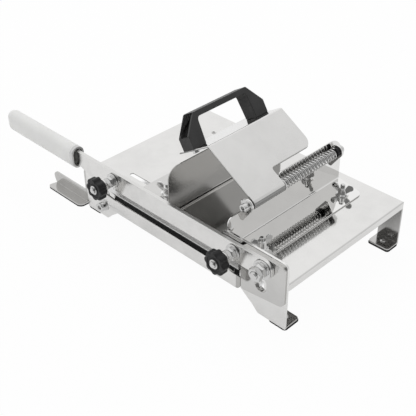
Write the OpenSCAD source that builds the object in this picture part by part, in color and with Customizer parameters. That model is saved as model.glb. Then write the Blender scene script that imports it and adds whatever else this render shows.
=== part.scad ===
// Lever slicer for dried meat: a low sheet-metal table on four legs, a long guillotine blade on a
// lever at the front, and a spring-fed carriage that runs behind it on a rod.
// Drawing frame in millimetres: x to the right, y to the back, z up from the top of the table.
// Every node is shifted at the end so that the whole object stands on z = 0 about its middle.

/* [Table] */
// left edge of the table top
table_left = -182.5; // [-186:0.5:-180]
// right edge of the table top
table_right = 168.4; // [166:0.2:172]
// back edge of the table top
table_back = 183; // [180:0.5:186]
// sheet thickness of the table top
table_sheet = 1.5; // [1.2:0.1:2]
// depth of the lip folded down round the table
table_lip = 10; // [8:0.5:12]
// radius of the folds and corners of the table
table_fold = 2.5; // [2:0.1:3]
// height of the table top above the floor
table_height = 68; // [67:0.5:70]

/* [Front wall and legs] */
// back face of the front wall, where the table meets it
wall_back = -42.5; // [-43:0.1:-42]
// thickness of the front wall
wall_sheet = 3; // [2.8:0.1:3.2]
// left edge of the front wall
wall_left = -190; // [-192:0.5:-188]
// height of the raised right part of the wall above the table
wall_rise = 28; // [27:0.5:30]
// where the raised part starts to slope up
wall_rise_start = 48; // [44:1:52]
// radius of the upper right corner of the wall
wall_corner = 8; // [6:0.5:10]
// lower edge of the wall between its legs, below the table top
wall_skirt = 42; // [40:0.5:44]
// width of a leg of the wall at the floor
leg_width = 46; // [42:1:50]
// width of the foot folded back from a leg
foot_width = 25; // [22:1:27]
// length of a foot, front to back
foot_length = 26; // [24:0.5:28]
// radius of the outer foot corners
foot_corner = 4; // [3:0.5:5]
// thickness of a rubber foot pad
pad_thick = 2; // [1.5:0.1:2.5]

/* [Rear legs] */
// sheet thickness of a rear leg
rear_sheet = 2.5; // [2:0.1:3]
// width of a rear leg at the floor
rear_leg_width = 31; // [28:1:34]
// width of a rear leg under the table
rear_leg_top = 46; // [40:1:52]
// radius of a rivet head on the feet
rivet_radius = 3.5; // [3:0.1:4]
// height of a rivet head on the feet
rivet_head = 1.6; // [1.2:0.1:2]

/* [Side bracket] */
// left end of the side bracket
bracket_left = -275; // [-280:1:-270]
// edge between the low wing and the tall part of the bracket
bracket_step = -198; // [-200:0.5:-196]
// top of the low wing, below the table top
bracket_wing_drop = 45; // [43:0.5:47]
// front edge of the floor flange of the bracket
bracket_front = -56; // [-58:0.5:-54]
// place of the bracket screw, left to right
bracket_screw_x = -153; // [-156:0.5:-150]
// place of the bracket screw, below the table top
bracket_screw_drop = 47; // [45:0.5:49]

/* [Pivot] */
// place of the lever pivot, left to right
pivot_x = 139; // [138:0.5:140]
// height of the lever pivot above the table top
pivot_z = 12; // [11.5:0.1:12.5]
// radius of the pivot bolt
pivot_radius = 5; // [4.5:0.1:5]
// thickness of the pivot plate
plate_sheet = 3; // [2.8:0.1:3]
// left edge of the pivot plate
plate_left = 101; // [100.5:0.1:102]
// top of the pivot plate above the table top
plate_top = 24; // [23:0.5:25]
// width of the long window in the pivot plate
window_width = 18; // [16:0.5:19]
// place of the long window, left to right
window_x = 132; // [131:0.5:133]

/* [Lever and blade] */
// thickness of the lever bar
lever_thick = 5; // [4.5:0.1:5.5]
// gap between the pivot plate and the lever bar
lever_gap = 0.4; // [0.3:0.05:0.5]
// radius of the round end of the lever
lever_end_radius = 13; // [12.5:0.1:13.5]
// distance from the grip to the wide part of the lever
lever_neck_reach = 27; // [24:1:30]
// thickness of the blade
blade_thick = 2.6; // [2.2:0.1:2.6]
// right end of the blade
blade_right = 97.5; // [97:0.1:98]
// left end of the blade
blade_left = -140; // [-144:1:-136]
// lower edge of the blade, below the table top
blade_drop = 18.5; // [18:0.1:19]

/* [Grip] */
// right end of the grip
grip_right = -199; // [-200:0.5:-198]
// length of the grip
grip_length = 149.5; // [145:0.5:152]
// height of the grip
grip_high = 31.5; // [30:0.5:33]
// thickness of the grip, front to back
grip_thick = 20; // [19:0.5:21]
// height of the grip axis above the table top
grip_z = 14.1; // [13.8:0.1:14.4]

/* [Stop plate and knobs] */
// thickness of the stop plate
stop_sheet = 2; // [1.8:0.1:2.2]
// left end of the stop plate
stop_left = -130; // [-132:0.5:-128.5]
// right end of the stop plate
stop_right = 109; // [108:0.5:110]
// upper edge of the long bar of the stop plate, below the table top
stop_top_drop = 14.5; // [14:0.1:15]
// lower edge of the stop plate, below the table top
stop_low_drop = 33.5; // [33:0.1:34]
// place of the left stud
stud_left_x = -118.8; // [-119.5:0.1:-118]
// place of the right stud
stud_right_x = 94; // [93:0.1:94]
// height of the studs above the table top
stud_z = 12.5; // [12.2:0.1:12.8]
// radius of the studs
stud_radius = 4; // [3.8:0.1:4]
// overall diameter of a knob
knob_size = 31; // [30:0.5:34]
// thickness of a knob
knob_thick = 11.5; // [10.5:0.5:13]

/* [Guides] */
// sheet thickness of the two guides
guide_sheet = 1.5; // [1.2:0.1:1.8]
// inner face of the left guide
left_guide_x = -24.2; // [-25:0.1:-23]
// outer face of the right guide
right_guide_x = 75; // [74.5:0.1:75.5]
// height of the guides
guide_high = 65; // [64:0.1:65]
// height of the low front part of the right guide
guide_low = 42.3; // [41:0.1:43]
// where the low front part of the right guide ends
guide_step_y = 43; // [42:0.5:44]
// back end of the guides
guide_back = 168.5; // [165:0.5:170]
// width of the flange of the left guide
left_flange = 68; // [66:0.5:70]
// width of the flange of the right guide
right_flange = 46.7; // [45:0.1:48]
// place of the front clamp bolts, front to back
clamp_front_y = -15; // [-16:0.5:-14]
// place of the back clamp bolts, front to back
clamp_back_y = 139; // [137:0.5:141]
// place of the left clamp bolts
clamp_left_x = -58; // [-59:0.5:-57]
// place of the right clamp bolts
clamp_right_x = 103; // [102:0.5:104]
// radius of the clamp bolts
clamp_radius = 3; // [2.8:0.1:3]
// left end of the slots for the left guide
slot_left_x = -130; // [-131:0.5:-129]
// right end of the slots for the left guide
slot_right_x = -50; // [-51:0.5:-49]

/* [Rod and spring] */
// place of the rod, left to right
rod_x = 83.4; // [83.2:0.1:83.8]
// height of the rod above the table top
rod_z = 53.8; // [53.7:0.1:54.1]
// radius of the rod
rod_radius = 4; // [3.8:0.1:4]
// front face of the front rod tab
tab_front_y = -20; // [-20.5:0.1:-19.5]
// front face of the back rod tab
tab_back_y = 146; // [145:0.5:147]
// thickness of the rod tabs
tab_sheet = 2; // [1.8:0.1:2.2]
// radius of the round rod tabs
tab_radius = 8.8; // [8.6:0.1:9]
// outer radius of the spring
spring_radius = 7; // [6.8:0.05:7.1]
// radius of the spring wire
spring_wire = 0.75; // [0.7:0.05:0.8]
// number of spring curls
spring_curls = 19; // [18:1:20]

/* [Carriage] */
// front edge of the carriage sheet
carriage_front = -15; // [-15.5:0.1:-14]
// back edge of the carriage sheet
carriage_back = 115; // [113:0.5:117]
// thickness of the carriage sheet
carriage_sheet = 2; // [1.8:0.1:2.2]
// place of the ridge, left to right
ridge_x = 16; // [15:0.5:17]
// height of the ridge above the table top
ridge_z = 103.4; // [103:0.1:104]
// slope of the left leaf, in degrees
leaf_slope = 31.5; // [31:0.1:32]
// length of the left leaf down its slope
leaf_length = 62.5; // [61:0.5:64]
// right edge of the right leaf behind the arm
roof_edge_x = 67.5; // [66.5:0.5:68]
// outer radius of the roll that the arm makes round the rod
roll_radius = 7.65; // [7.6:0.05:7.9]
// back edge of the arm
arm_back = 39; // [38.9:0.1:40]

/* [Carriage handle] */
// front end of the handle
handle_front = -20; // [-20.5:0.5:-19]
// length of the handle
handle_length = 131; // [129:1:133]
// height of the handle over the sheet
handle_high = 41; // [40:0.5:42]
// width of the handle
handle_wide = 21; // [20:0.5:22]
// distance of the handle from the ridge, down the slope
handle_offset = 21; // [20:0.5:22]
// thickness of the bar of the handle
handle_bar = 7.2; // [7:0.1:8]

/* [Hidden] */
clear = 0.3;
fine = 64;
small = 32;
floor_z = -table_height;
foot_z = floor_z + pad_thick;
wall_front = wall_back - wall_sheet;
plate_front = wall_front - plate_sheet;
lever_back = plate_front - lever_gap;
lever_front = lever_back - lever_thick;
lever_mid = (lever_front + lever_back) / 2;
lever_top = pivot_z + lever_end_radius;
lever_low = pivot_z - lever_end_radius;
blade_back = lever_back + blade_thick;
stop_gap = 2.1;
nut_stack = 18.65;
knob_depth = nut_stack + knob_thick;
stop_back = lever_front - stop_gap;
stop_front = stop_back - stop_sheet;
grip_left = grip_right - grip_length;
knob_radius = knob_size / 2;

// points of an outline given as [a, b, radius], with every corner rounded
corner_steps = 8;
function turned(v) = [-v[1], v[0]];
function unit(v) = v / norm(v);
function corner(p, q, r) =
  let (a = unit([p[0] - q[0], p[1] - q[1]]), b = unit([r[0] - q[0], r[1] - q[1]]))
  let (half = acos(max(-1, min(1, a * b))) / 2, reach = q[2] / tan(half))
  let (mid = [q[0], q[1]] + unit(a + b) * q[2] / sin(half))
  let (from = [q[0], q[1]] + a * reach - mid, to = [q[0], q[1]] + b * reach - mid)
  let (sweep = acos(max(-1, min(1, unit(from) * unit(to)))))
  let (way = from[0] * to[1] - from[1] * to[0] > 0 ? 1 : -1)
  [for (i = [0 : corner_steps]) let (g = way * sweep * i / corner_steps)
    mid + [from[0] * cos(g) - from[1] * sin(g), from[0] * sin(g) + from[1] * cos(g)]];
function rounded(pts) = [for (i = [0 : len(pts) - 1])
  let (p = pts[(i + len(pts) - 1) % len(pts)], q = pts[i], r = pts[(i + 1) % len(pts)])
  each (q[2] > 0 ? corner(p, q, r) : [[q[0], q[1]]])];

module outline(pts) polygon(rounded(pts));

// a flat sheet standing across the object: outline in x and z, from the front face back
module standing(front, thick) {
  translate([0, front + thick, 0]) rotate([90, 0, 0]) linear_extrude(thick) children();
}

// a long piece running left to right: outline in y and z
module lengthways(left, long) {
  translate([left, 0, 0]) rotate([90, 0, 90]) linear_extrude(long) children();
}

// a flat sheet lying on a level: outline in x and y
module lying(low, thick) {
  translate([0, 0, low]) linear_extrude(thick) children();
}

// a round bar along y
module bar_y(x, z, front, long, radius) {
  translate([x, front, z]) rotate([-90, 0, 0]) cylinder(h = long, r = radius, $fn = fine);
}

// a hexagon bar along y, size across its corners
module hex_y(x, z, front, long, radius, turn = 0) {
  translate([x, front, z]) rotate([-90, turn, 0]) cylinder(h = long, r = radius, $fn = 6);
}

// a slot with round ends, in the plane of the sheet
module slot_shape(left, right, y, width) {
  for (x = [left + width / 2, right - width / 2]) translate([x, y]) circle(d = width, $fn = fine);
  translate([left + width / 2, y - width / 2]) square([right - left - width, width]);
}

// table: a shallow pan upside down, with slots for the guides
slot_width = 6.6;
right_slot_reach = 11.5;
module table_block(inset, top, low) {
  intersection() {
    standing(wall_back + inset, table_back - wall_back - 2 * inset)
      outline([[table_left + inset, low, 0], [table_right - inset, low, 0],
        [table_right - inset, top, table_fold - inset / 2],
        [table_left + inset, top, table_fold - inset / 2]]);
    lengthways(table_left + inset, table_right - table_left - 2 * inset)
      outline([[wall_back + inset, low, 0], [table_back - inset, low, 0],
        [table_back - inset, top, table_fold - inset / 2],
        [wall_back + inset, top, 0]]);
    lying(low, top - low)
      outline([[table_left + inset, wall_back + inset, table_fold],
        [table_right - inset, wall_back + inset, table_fold],
        [table_right - inset, table_back - inset, table_fold],
        [table_left + inset, table_back - inset, table_fold]]);
  }
}
module table() color([0.78, 0.79, 0.8]) place() difference() {
  table_block(0, 0, -table_lip);
  table_block(table_sheet, -table_sheet, -table_lip - table_sheet);
  lying(-2 * table_sheet, 3 * table_sheet) {
    for (y = [clamp_front_y, clamp_back_y]) {
      slot_shape(slot_left_x, slot_right_x, y, slot_width);
      slot_shape(clamp_right_x - right_slot_reach, clamp_right_x + right_slot_reach, y, slot_width);
    }
  }
}

// front wall: one sheet with two legs and their feet folded back
leg_slope = wall_skirt - table_height + 4;
foot_toe = 4;
wall_fold = 8;
wall_hole_x = 131.5;
wall_hole_z = -20;
wall_hole_width = 7;
wall_hole_high = 12;
wall_rise_run = 25;
module wall_outline() {
  outline([
    [wall_left, 0, 3],
    [wall_left, foot_z, wall_fold / 2],
    [wall_left + leg_width - foot_toe, foot_z, foot_toe],
    [wall_left + leg_width + foot_toe, foot_z + foot_toe * 2, foot_toe * 2],
    [wall_left + leg_width + foot_toe - leg_slope, -wall_skirt, wall_fold],
    [table_right - leg_width - foot_toe + leg_slope, -wall_skirt, wall_fold],
    [table_right - leg_width - foot_toe, foot_z + foot_toe * 2, foot_toe * 2],
    [table_right - leg_width + foot_toe, foot_z, foot_toe],
    [table_right, foot_z, wall_fold / 2],
    [table_right, wall_rise, wall_corner],
    [wall_rise_start + wall_rise_run, wall_rise, wall_fold],
    [wall_rise_start, 0, wall_fold]]);
}
module foot_shape(left) {
  outline([[left, wall_front, 0], [left + foot_width, wall_front, 0],
    [left + foot_width, wall_front + foot_length, foot_corner],
    [left, wall_front + foot_length, foot_corner]]);
}
module front_wall() color([0.76, 0.77, 0.78]) place() {
  difference() {
    union() {
      standing(wall_front, wall_sheet) wall_outline();
      lying(foot_z, rear_sheet) foot_shape(table_right - foot_width);
      lying(foot_z, rear_sheet) foot_shape(wall_left);
    }
    bar_y(pivot_x, pivot_z, wall_front - clear, wall_sheet + 2 * clear, pivot_radius);
    bar_y(bracket_screw_x, -bracket_screw_drop, wall_front - clear, wall_sheet + 2 * clear,
      bracket_screw_radius);
    standing(wall_front - clear, wall_sheet + 2 * clear)
      outline([[wall_hole_x - wall_hole_width / 2, wall_hole_z - wall_hole_high / 2, wall_hole_width / 2.1],
        [wall_hole_x + wall_hole_width / 2, wall_hole_z - wall_hole_high / 2, wall_hole_width / 2.1],
        [wall_hole_x + wall_hole_width / 2, wall_hole_z + wall_hole_high / 2, wall_hole_width / 2.1],
        [wall_hole_x - wall_hole_width / 2, wall_hole_z + wall_hole_high / 2, wall_hole_width / 2.1]]);
  }
}

// rear legs: a flat sheet under each back corner with a foot folded forward
rear_leg_back = table_back - table_sheet;
rear_leg_head = -table_sheet - table_fold;
rear_foot_length = 23;
module rear_leg(side) {
  edge = side > 0 ? table_right : -table_left;
  head_edge = edge - table_sheet - table_fold;
  mirror([side > 0 ? 0 : 1, 0, 0]) {
    standing(rear_leg_back - rear_sheet, rear_sheet)
      outline([[head_edge, rear_leg_head, 0], [edge - rear_leg_top, rear_leg_head, 0],
        [edge - rear_leg_top, -table_lip - table_sheet, wall_fold],
        [edge - rear_leg_width, -wall_skirt, wall_fold],
        [edge - rear_leg_width, foot_z, 0], [edge, foot_z, 0],
        [edge, -table_lip, 0], [head_edge, -table_lip, 0]]);
    lying(foot_z, rear_sheet)
      outline([[edge - rear_leg_width, rear_leg_back, 0], [edge, rear_leg_back, 0],
        [edge, rear_leg_back - rear_foot_length, foot_corner],
        [edge - rear_leg_width, rear_leg_back - rear_foot_length, foot_corner]]);
  }
}
module rear_leg_right() color([0.74, 0.75, 0.76]) place() rear_leg(1);
module rear_leg_left() color([0.74, 0.75, 0.76]) place() rear_leg(-1);

// rubber pads under the feet, each a little larger than its foot
pad_over = 0.6;
module pad_shape(left, front, wide, long) {
  outline([[left, front, foot_corner], [left + wide, front, foot_corner],
    [left + wide, front + long, foot_corner], [left, front + long, foot_corner]]);
}
module foot_pads() color([0.05, 0.05, 0.05]) place() lying(floor_z, pad_thick) {
  pad_shape(table_right - foot_width - pad_over, wall_front, foot_width + 2 * pad_over,
    foot_length + pad_over);
  pad_shape(wall_left - pad_over, wall_front, foot_width + 2 * pad_over, foot_length + pad_over);
  for (left = [table_right - rear_leg_width - pad_over, table_left - pad_over])
    pad_shape(left, rear_leg_back - rear_foot_length - pad_over, rear_leg_width + 2 * pad_over,
      rear_foot_length + pad_over);
}

// rivets that hold the pads to the feet
module rivet(x, y) {
  translate([x, y, foot_z + rear_sheet]) intersection() {
    cylinder(h = rivet_head, r = rivet_radius, $fn = small);
    translate([0, 0, rivet_head - 2 * rivet_radius]) sphere(r = 2 * rivet_radius, $fn = fine);
  }
}
module foot_rivets() color([0.8, 0.8, 0.81]) place() {
  for (x = [table_right - foot_width / 2, wall_left + foot_width / 2])
    rivet(x, wall_back + foot_length / 2);
  for (x = [table_right - rear_leg_width / 2, table_left + rear_leg_width / 2])
    rivet(x, rear_leg_back - rear_foot_length / 2);
}

// side bracket: a sheet behind the left leg with a wing and a floor flange under the lever grip
bracket_sheet = 2.5;
bracket_right = -140;
bracket_top = 10.5;
bracket_keep = 8;
bracket_wing_end = -196;
bracket_screw_radius = 4;
module side_bracket() color([0.75, 0.76, 0.77]) place() {
  difference() {
    standing(wall_back, bracket_sheet)
      outline([[bracket_left + wall_fold, foot_z, 0], [bracket_wing_end, foot_z, 0],
        [bracket_wing_end, foot_z + bracket_keep, 0], [bracket_right, foot_z + bracket_keep, wall_fold],
        [bracket_right, -bracket_top, wall_fold], [bracket_step, -bracket_top, wall_fold / 2],
        [bracket_step, -bracket_wing_drop, wall_fold / 2],
        [bracket_left, -bracket_wing_drop, wall_fold]]);
    bar_y(bracket_screw_x, -bracket_screw_drop, wall_back - clear, bracket_sheet + 2 * clear,
      bracket_screw_radius);
  }
  lying(foot_z, bracket_sheet)
    outline([[bracket_left + wall_fold, wall_back + bracket_sheet, 0],
      [bracket_left + wall_fold / 2, bracket_front, wall_fold / 2],
      [bracket_wing_end, bracket_front, wall_fold],
      [bracket_wing_end, wall_back + bracket_sheet, 0]]);
}
module bracket_pad() color([0.05, 0.05, 0.05]) place() lying(floor_z, pad_thick)
  outline([[bracket_left + wall_fold, wall_back + bracket_sheet, 0],
    [bracket_left + wall_fold / 2, bracket_front, wall_fold / 2],
    [bracket_wing_end, bracket_front, wall_fold],
    [bracket_wing_end, wall_back + bracket_sheet, 0]]);

// socket-head screw with washer and nut that joins the bracket to the wall
washer_thick = 1.6;
screw_washer_radius = 8;
screw_head_radius = 6.5;
screw_head = 8;
socket_radius = 3.4;
socket_deep = 4;
screw_nut = 6.5;
screw_nut_radius = 7.4;
module socket_screw(x, z, face, washer_r, head_r, head_long, key_r) {
  difference() {
    bar_y(x, z, face - washer_thick - head_long, head_long, head_r);
    hex_y(x, z, face - washer_thick - head_long - clear, socket_deep + clear, key_r);
  }
  bar_y(x, z, face - washer_thick, washer_thick, washer_r);
}
module bracket_screw() color([0.7, 0.7, 0.72]) place() {
  socket_screw(bracket_screw_x, -bracket_screw_drop, wall_front, screw_washer_radius,
    screw_head_radius, screw_head, socket_radius);
  bar_y(bracket_screw_x, -bracket_screw_drop, wall_front, wall_sheet + bracket_sheet + screw_nut,
    bracket_screw_radius);
  hex_y(bracket_screw_x, -bracket_screw_drop, wall_back + bracket_sheet, screw_nut,
    screw_nut_radius);
}

// pivot plate on the wall, with the long window in it
plate_corner = 5;
plate_low_left = 41;
plate_low_right = 32;
plate_inset = 1.4;
window_low = -27.5;
window_high = 22;
window_end = window_width / 2.05;
module pivot_plate() color([0.78, 0.79, 0.8]) place() difference() {
  standing(plate_front, plate_sheet)
    outline([[plate_left, -plate_low_left, plate_corner],
      [table_right - plate_inset, -plate_low_right, wall_corner],
      [table_right - plate_inset, plate_top, plate_corner], [plate_left, plate_top, plate_corner]]);
  bar_y(pivot_x, pivot_z, plate_front - clear, plate_sheet + 2 * clear, pivot_radius);
  standing(plate_front - clear, plate_sheet + 2 * clear)
    outline([[window_x - window_width / 2, window_low, window_end],
      [window_x + window_width / 2, window_low, window_end],
      [window_x + window_width / 2, window_low + window_high, window_end],
      [window_x - window_width / 2, window_low + window_high, window_end]]);
}

// pivot bolt with its head behind the wall, washers and two nuts in front of the lever
pivot_head = 5;
pivot_head_radius = 9.5;
pivot_washer_radius = 12.5;
pivot_small_washer = 9.5;
pivot_nut_radius = 9.6;
pivot_nut = 6;
pivot_end = -71;
pivot_end_chamfer = 0.8;
pivot_fit = 0.05;
module pivot_bolt() color([0.8, 0.8, 0.82]) place() {
  bar_y(pivot_x, pivot_z, pivot_end + pivot_end_chamfer, wall_back - pivot_end - pivot_end_chamfer,
    pivot_radius);
  translate([pivot_x, pivot_end, pivot_z]) rotate([-90, 0, 0])
    cylinder(h = pivot_end_chamfer, r1 = pivot_radius - pivot_end_chamfer, r2 = pivot_radius, $fn = fine);
  hex_y(pivot_x, pivot_z, wall_back, pivot_head, pivot_head_radius);
}
pivot_washer_front = lever_front - clear - washer_thick;
module pivot_nuts() color([0.8, 0.8, 0.82]) place() difference() {
  union() {
    bar_y(pivot_x, pivot_z, pivot_washer_front, washer_thick, pivot_washer_radius);
    bar_y(pivot_x, pivot_z, pivot_washer_front - washer_thick / 2, washer_thick / 2, pivot_small_washer);
    nut_y(pivot_x, pivot_z, pivot_washer_front - washer_thick / 2 - pivot_nut, pivot_nut,
      pivot_nut_radius, 12);
    nut_y(pivot_x, pivot_z, pivot_washer_front - washer_thick / 2 - 2 * pivot_nut + nut_gap,
      pivot_nut - 2 * nut_gap, pivot_nut_radius, 40);
  }
  bar_y(pivot_x, pivot_z, pivot_end - clear, wall_back - pivot_end, pivot_radius);
}

// a hexagon nut along y with its corners rounded off by a chamfer
nut_gap = 0.15;
nut_bevel = 1.2;
module nut_y(x, z, front, long, radius, turn) {
  intersection() {
    hex_y(x, z, front, long, radius, turn);
    union() {
      bar_y(x, z, front + nut_bevel, long - 2 * nut_bevel, radius + nut_gap);
      translate([x, front, z]) rotate([-90, 0, 0])
        cylinder(h = nut_bevel, r1 = radius * cos(30) - nut_gap, r2 = radius + nut_gap, $fn = fine);
      translate([x, front + long - nut_bevel, z]) rotate([-90, 0, 0])
        cylinder(h = nut_bevel, r1 = radius + nut_gap, r2 = radius * cos(30) - nut_gap, $fn = fine);
    }
  }
}

// lever bar: a long flat bar with a round end at the pivot and a narrow tang into the grip
tang_low = 3;
tang_inset = 48.5;
tang_left = grip_left + tang_inset;
lever_neck_x = grip_right + lever_neck_reach;
tang_fold = 4;
lever_shoulder = 14;
module lever_outline() {
  difference() {
    union() {
      outline([[tang_left, tang_low, tang_fold], [lever_neck_x - lever_shoulder, tang_low, tang_fold],
        [lever_neck_x, lever_low - table_sheet, tang_fold], [pivot_x, lever_low, 0], [pivot_x, lever_top, 0],
        [tang_left, lever_top, tang_fold]]);
      translate([pivot_x, pivot_z]) circle(r = lever_end_radius, $fn = fine);
    }
    translate([pivot_x, pivot_z]) circle(r = pivot_radius + pivot_fit, $fn = fine);
    for (x = [stud_left_x, stud_right_x]) translate([x, stud_z]) circle(r = stud_radius, $fn = fine);
  }
}
module lever_bar() color([0.82, 0.83, 0.84]) place() standing(lever_front, lever_thick) lever_outline();

// blade behind the lever bar, bevelled along its lower edge
blade_top = 22;
blade_cut = 16;
blade_cut_rise = 5;
blade_bevel_high = 5;
blade_edge = 0.5;
module blade() color([0.86, 0.87, 0.88]) place() difference() {
  standing(lever_back, blade_thick)
    outline([[blade_left, -blade_drop + blade_cut_rise, 1], [blade_left + blade_cut, -blade_drop, 1],
      [blade_right, -blade_drop, 0], [blade_right, blade_top, 1], [blade_left, blade_top, 1]]);
  lengthways(blade_left - 1, blade_right - blade_left + 2)
    polygon([[lever_back - 1, -blade_drop - 1], [blade_back - blade_edge, -blade_drop - 1],
      [blade_back - blade_edge, -blade_drop], [lever_back, -blade_drop + blade_bevel_high],
      [lever_back - 1, -blade_drop + blade_bevel_high]]);
  for (x = [stud_left_x, stud_right_x]) {
    bar_y(x, stud_z, lever_back - clear, blade_thick + 2 * clear, stud_radius);
    translate([x, blade_back - stud_head, stud_z]) rotate([-90, 0, 0])
      cylinder(h = stud_head + clear / 10, r1 = stud_radius, r2 = stud_head_radius, $fn = fine);
  }
}

// studs: countersunk screws from behind the blade that stand out through the lever bar
stud_end = -89;
stud_head = 2.2;
stud_head_radius = 6;
stud_tip = 0.8;
module stop_studs() color([0.85, 0.85, 0.87]) place() {
  for (x = [stud_left_x, stud_right_x]) {
    bar_y(x, stud_z, stud_end + stud_tip, blade_back - stud_head - stud_end - stud_tip, stud_radius);
    translate([x, stud_end, stud_z]) rotate([-90, 0, 0])
      cylinder(h = stud_tip, r1 = stud_radius - stud_tip, r2 = stud_radius, $fn = fine);
    translate([x, blade_back - stud_head, stud_z]) rotate([-90, 0, 0])
      cylinder(h = stud_head, r1 = stud_radius, r2 = stud_head_radius, $fn = fine);
  }
}

// grip: a flat oval sleeve over the tang, open at its right end
grip_wall = 2.6;
grip_recess = 12;
grip_end_round = 12;
grip_side_round = 8.5;
module oval(high, thick) {
  union() {
    for (z = [grip_z - (high - thick) / 2, grip_z + (high - thick) / 2])
      translate([lever_mid, z]) circle(d = thick, $fn = fine);
    translate([lever_mid - thick / 2, grip_z - (high - thick) / 2]) square([thick, high - thick]);
  }
}
module grip() color([0.93, 0.93, 0.92]) place() difference() {
  intersection() {
    lengthways(grip_left, grip_length) oval(grip_high, grip_thick);
    standing(lever_mid - grip_thick, 2 * grip_thick)
      outline([[grip_left, grip_z - grip_high / 2, grip_end_round], [grip_right, grip_z - grip_high / 2, 0],
        [grip_right, grip_z + grip_high / 2, 0], [grip_left, grip_z + grip_high / 2, grip_end_round]]);
    lying(grip_z - grip_high, 2 * grip_high)
      outline([[grip_left, lever_mid - grip_thick / 2, grip_side_round], [grip_right, lever_mid - grip_thick / 2, 0],
        [grip_right, lever_mid + grip_thick / 2, 0], [grip_left, lever_mid + grip_thick / 2, grip_side_round]]);
  }
  lengthways(grip_right - grip_recess, grip_recess + clear)
    oval(grip_high - 2 * grip_wall, grip_thick - 2 * grip_wall);
  standing(lever_front, lever_thick) lever_outline();
}

// thin metal collar round the mouth of the grip
collar_long = 5;
module grip_collar() color([0.6, 0.6, 0.62]) place() difference() {
  lengthways(grip_right, collar_long) oval(grip_high, grip_thick);
  lengthways(grip_right - clear, collar_long + 2 * clear)
    oval(grip_high - 2 * grip_wall, grip_thick - 2 * grip_wall);
}

// stop plate: a long bar; two tabs bent forward and up carry its ears; its distance sets the slice
knob_boss = 3;
knob_front = stop_back - knob_depth;
knob_back = knob_front + knob_thick + knob_boss;
ear_clear = 0.05;
ear_half = 9;
ear_front = knob_back + ear_clear;
ear_back = ear_front + stop_sheet;
stop_fold = 7;
stop_bend = 1.5;
tab_half = 6;
tab_rise = 17;
tab_root = 3;
tab_mitre = tan(atan((stop_front - ear_front) / tab_rise) / 2) * stop_sheet / 2;
bush_radius = 6;
bush_fit = 0.06;
module stop_plate() color([0.8, 0.81, 0.82]) place() difference() {
  union() {
    standing(stop_front, stop_sheet)
      outline([[stop_left, -stop_low_drop, stop_fold], [stop_right, -stop_low_drop, stop_fold],
        [stop_right, -stop_top_drop, 0.5], [stop_left, -stop_top_drop, 0.5]]);
    for (x = [stud_left_x, stud_right_x]) {
      lengthways(x - tab_half, 2 * tab_half)
        outline([[stop_front, -stop_top_drop - tab_root, 0],
          [stop_front, -stop_top_drop - tab_mitre, stop_bend],
          [ear_front, tab_rise - stop_top_drop - tab_mitre, stop_bend + stop_sheet],
          [ear_front, stud_z, 0], [ear_back, stud_z, 0],
          [ear_back, tab_rise - stop_top_drop + tab_mitre, stop_bend],
          [stop_back, -stop_top_drop + tab_mitre, stop_bend + stop_sheet],
          [stop_back, -stop_top_drop - tab_root, 0]]);
      bar_y(x, stud_z, ear_front, stop_sheet, ear_half);
    }
  }
  for (x = [stud_left_x, stud_right_x])
    bar_y(x, stud_z, ear_front - clear, stop_sheet + 2 * clear, bush_radius + bush_fit);
}

// adjuster: threaded bush through the ear, held by a thin nut behind it; a washer and nuts end at the bar
bush_gap = 0.5;
bush_back = lever_front - bush_gap;
bush_nut_radius = 8;
big_washer_radius = 10;
lock_nut = 6;
lock_nut_radius = 7.5;
thread_fit = 0.05;
nuts_back = bush_back - washer_thick;
nuts_front = nuts_back - 2 * lock_nut;
module adjuster(x) difference() {
  union() {
    hex_y(x, stud_z, ear_back + ear_clear, nuts_front - ear_back - ear_clear, bush_nut_radius);
    bar_y(x, stud_z, knob_front - clear, bush_back - knob_front + clear, bush_radius);
    bar_y(x, stud_z, nuts_back, washer_thick, big_washer_radius);
    nut_y(x, stud_z, nuts_back - lock_nut, lock_nut, lock_nut_radius, 8);
    nut_y(x, stud_z, nuts_front, lock_nut - nut_gap, lock_nut_radius, 34);
  }
  bar_y(x, stud_z, knob_front - 1, bush_back - knob_front + 2, stud_radius + thread_fit);
}
module adjuster_left() color([0.8, 0.8, 0.82]) place() adjuster(stud_left_x);
module adjuster_right() color([0.8, 0.8, 0.82]) place() adjuster(stud_right_x);

// star knob on the bush
lobe_count = 8;
lobe_radius = 3.9;
knob_notch = 1.9;
knob_waist = knob_radius - knob_notch;
knob_boss_radius = 9.5;
module knob(x) difference() {
  union() {
    standing(knob_front, knob_thick) translate([x, stud_z]) union() {
      circle(r = knob_waist, $fn = fine);
      for (i = [0 : lobe_count - 1]) rotate(i * 360 / lobe_count)
        translate([knob_radius - lobe_radius, 0]) circle(r = lobe_radius, $fn = small);
    }
    bar_y(x, stud_z, knob_front + knob_thick, knob_boss, knob_boss_radius);
  }
  bar_y(x, stud_z, knob_front - 1, knob_thick + knob_boss + 2, bush_radius);
}
module knob_left() color([0.06, 0.06, 0.06]) place() knob(stud_left_x);
module knob_right() color([0.06, 0.06, 0.06]) place() knob(stud_right_x);

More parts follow.
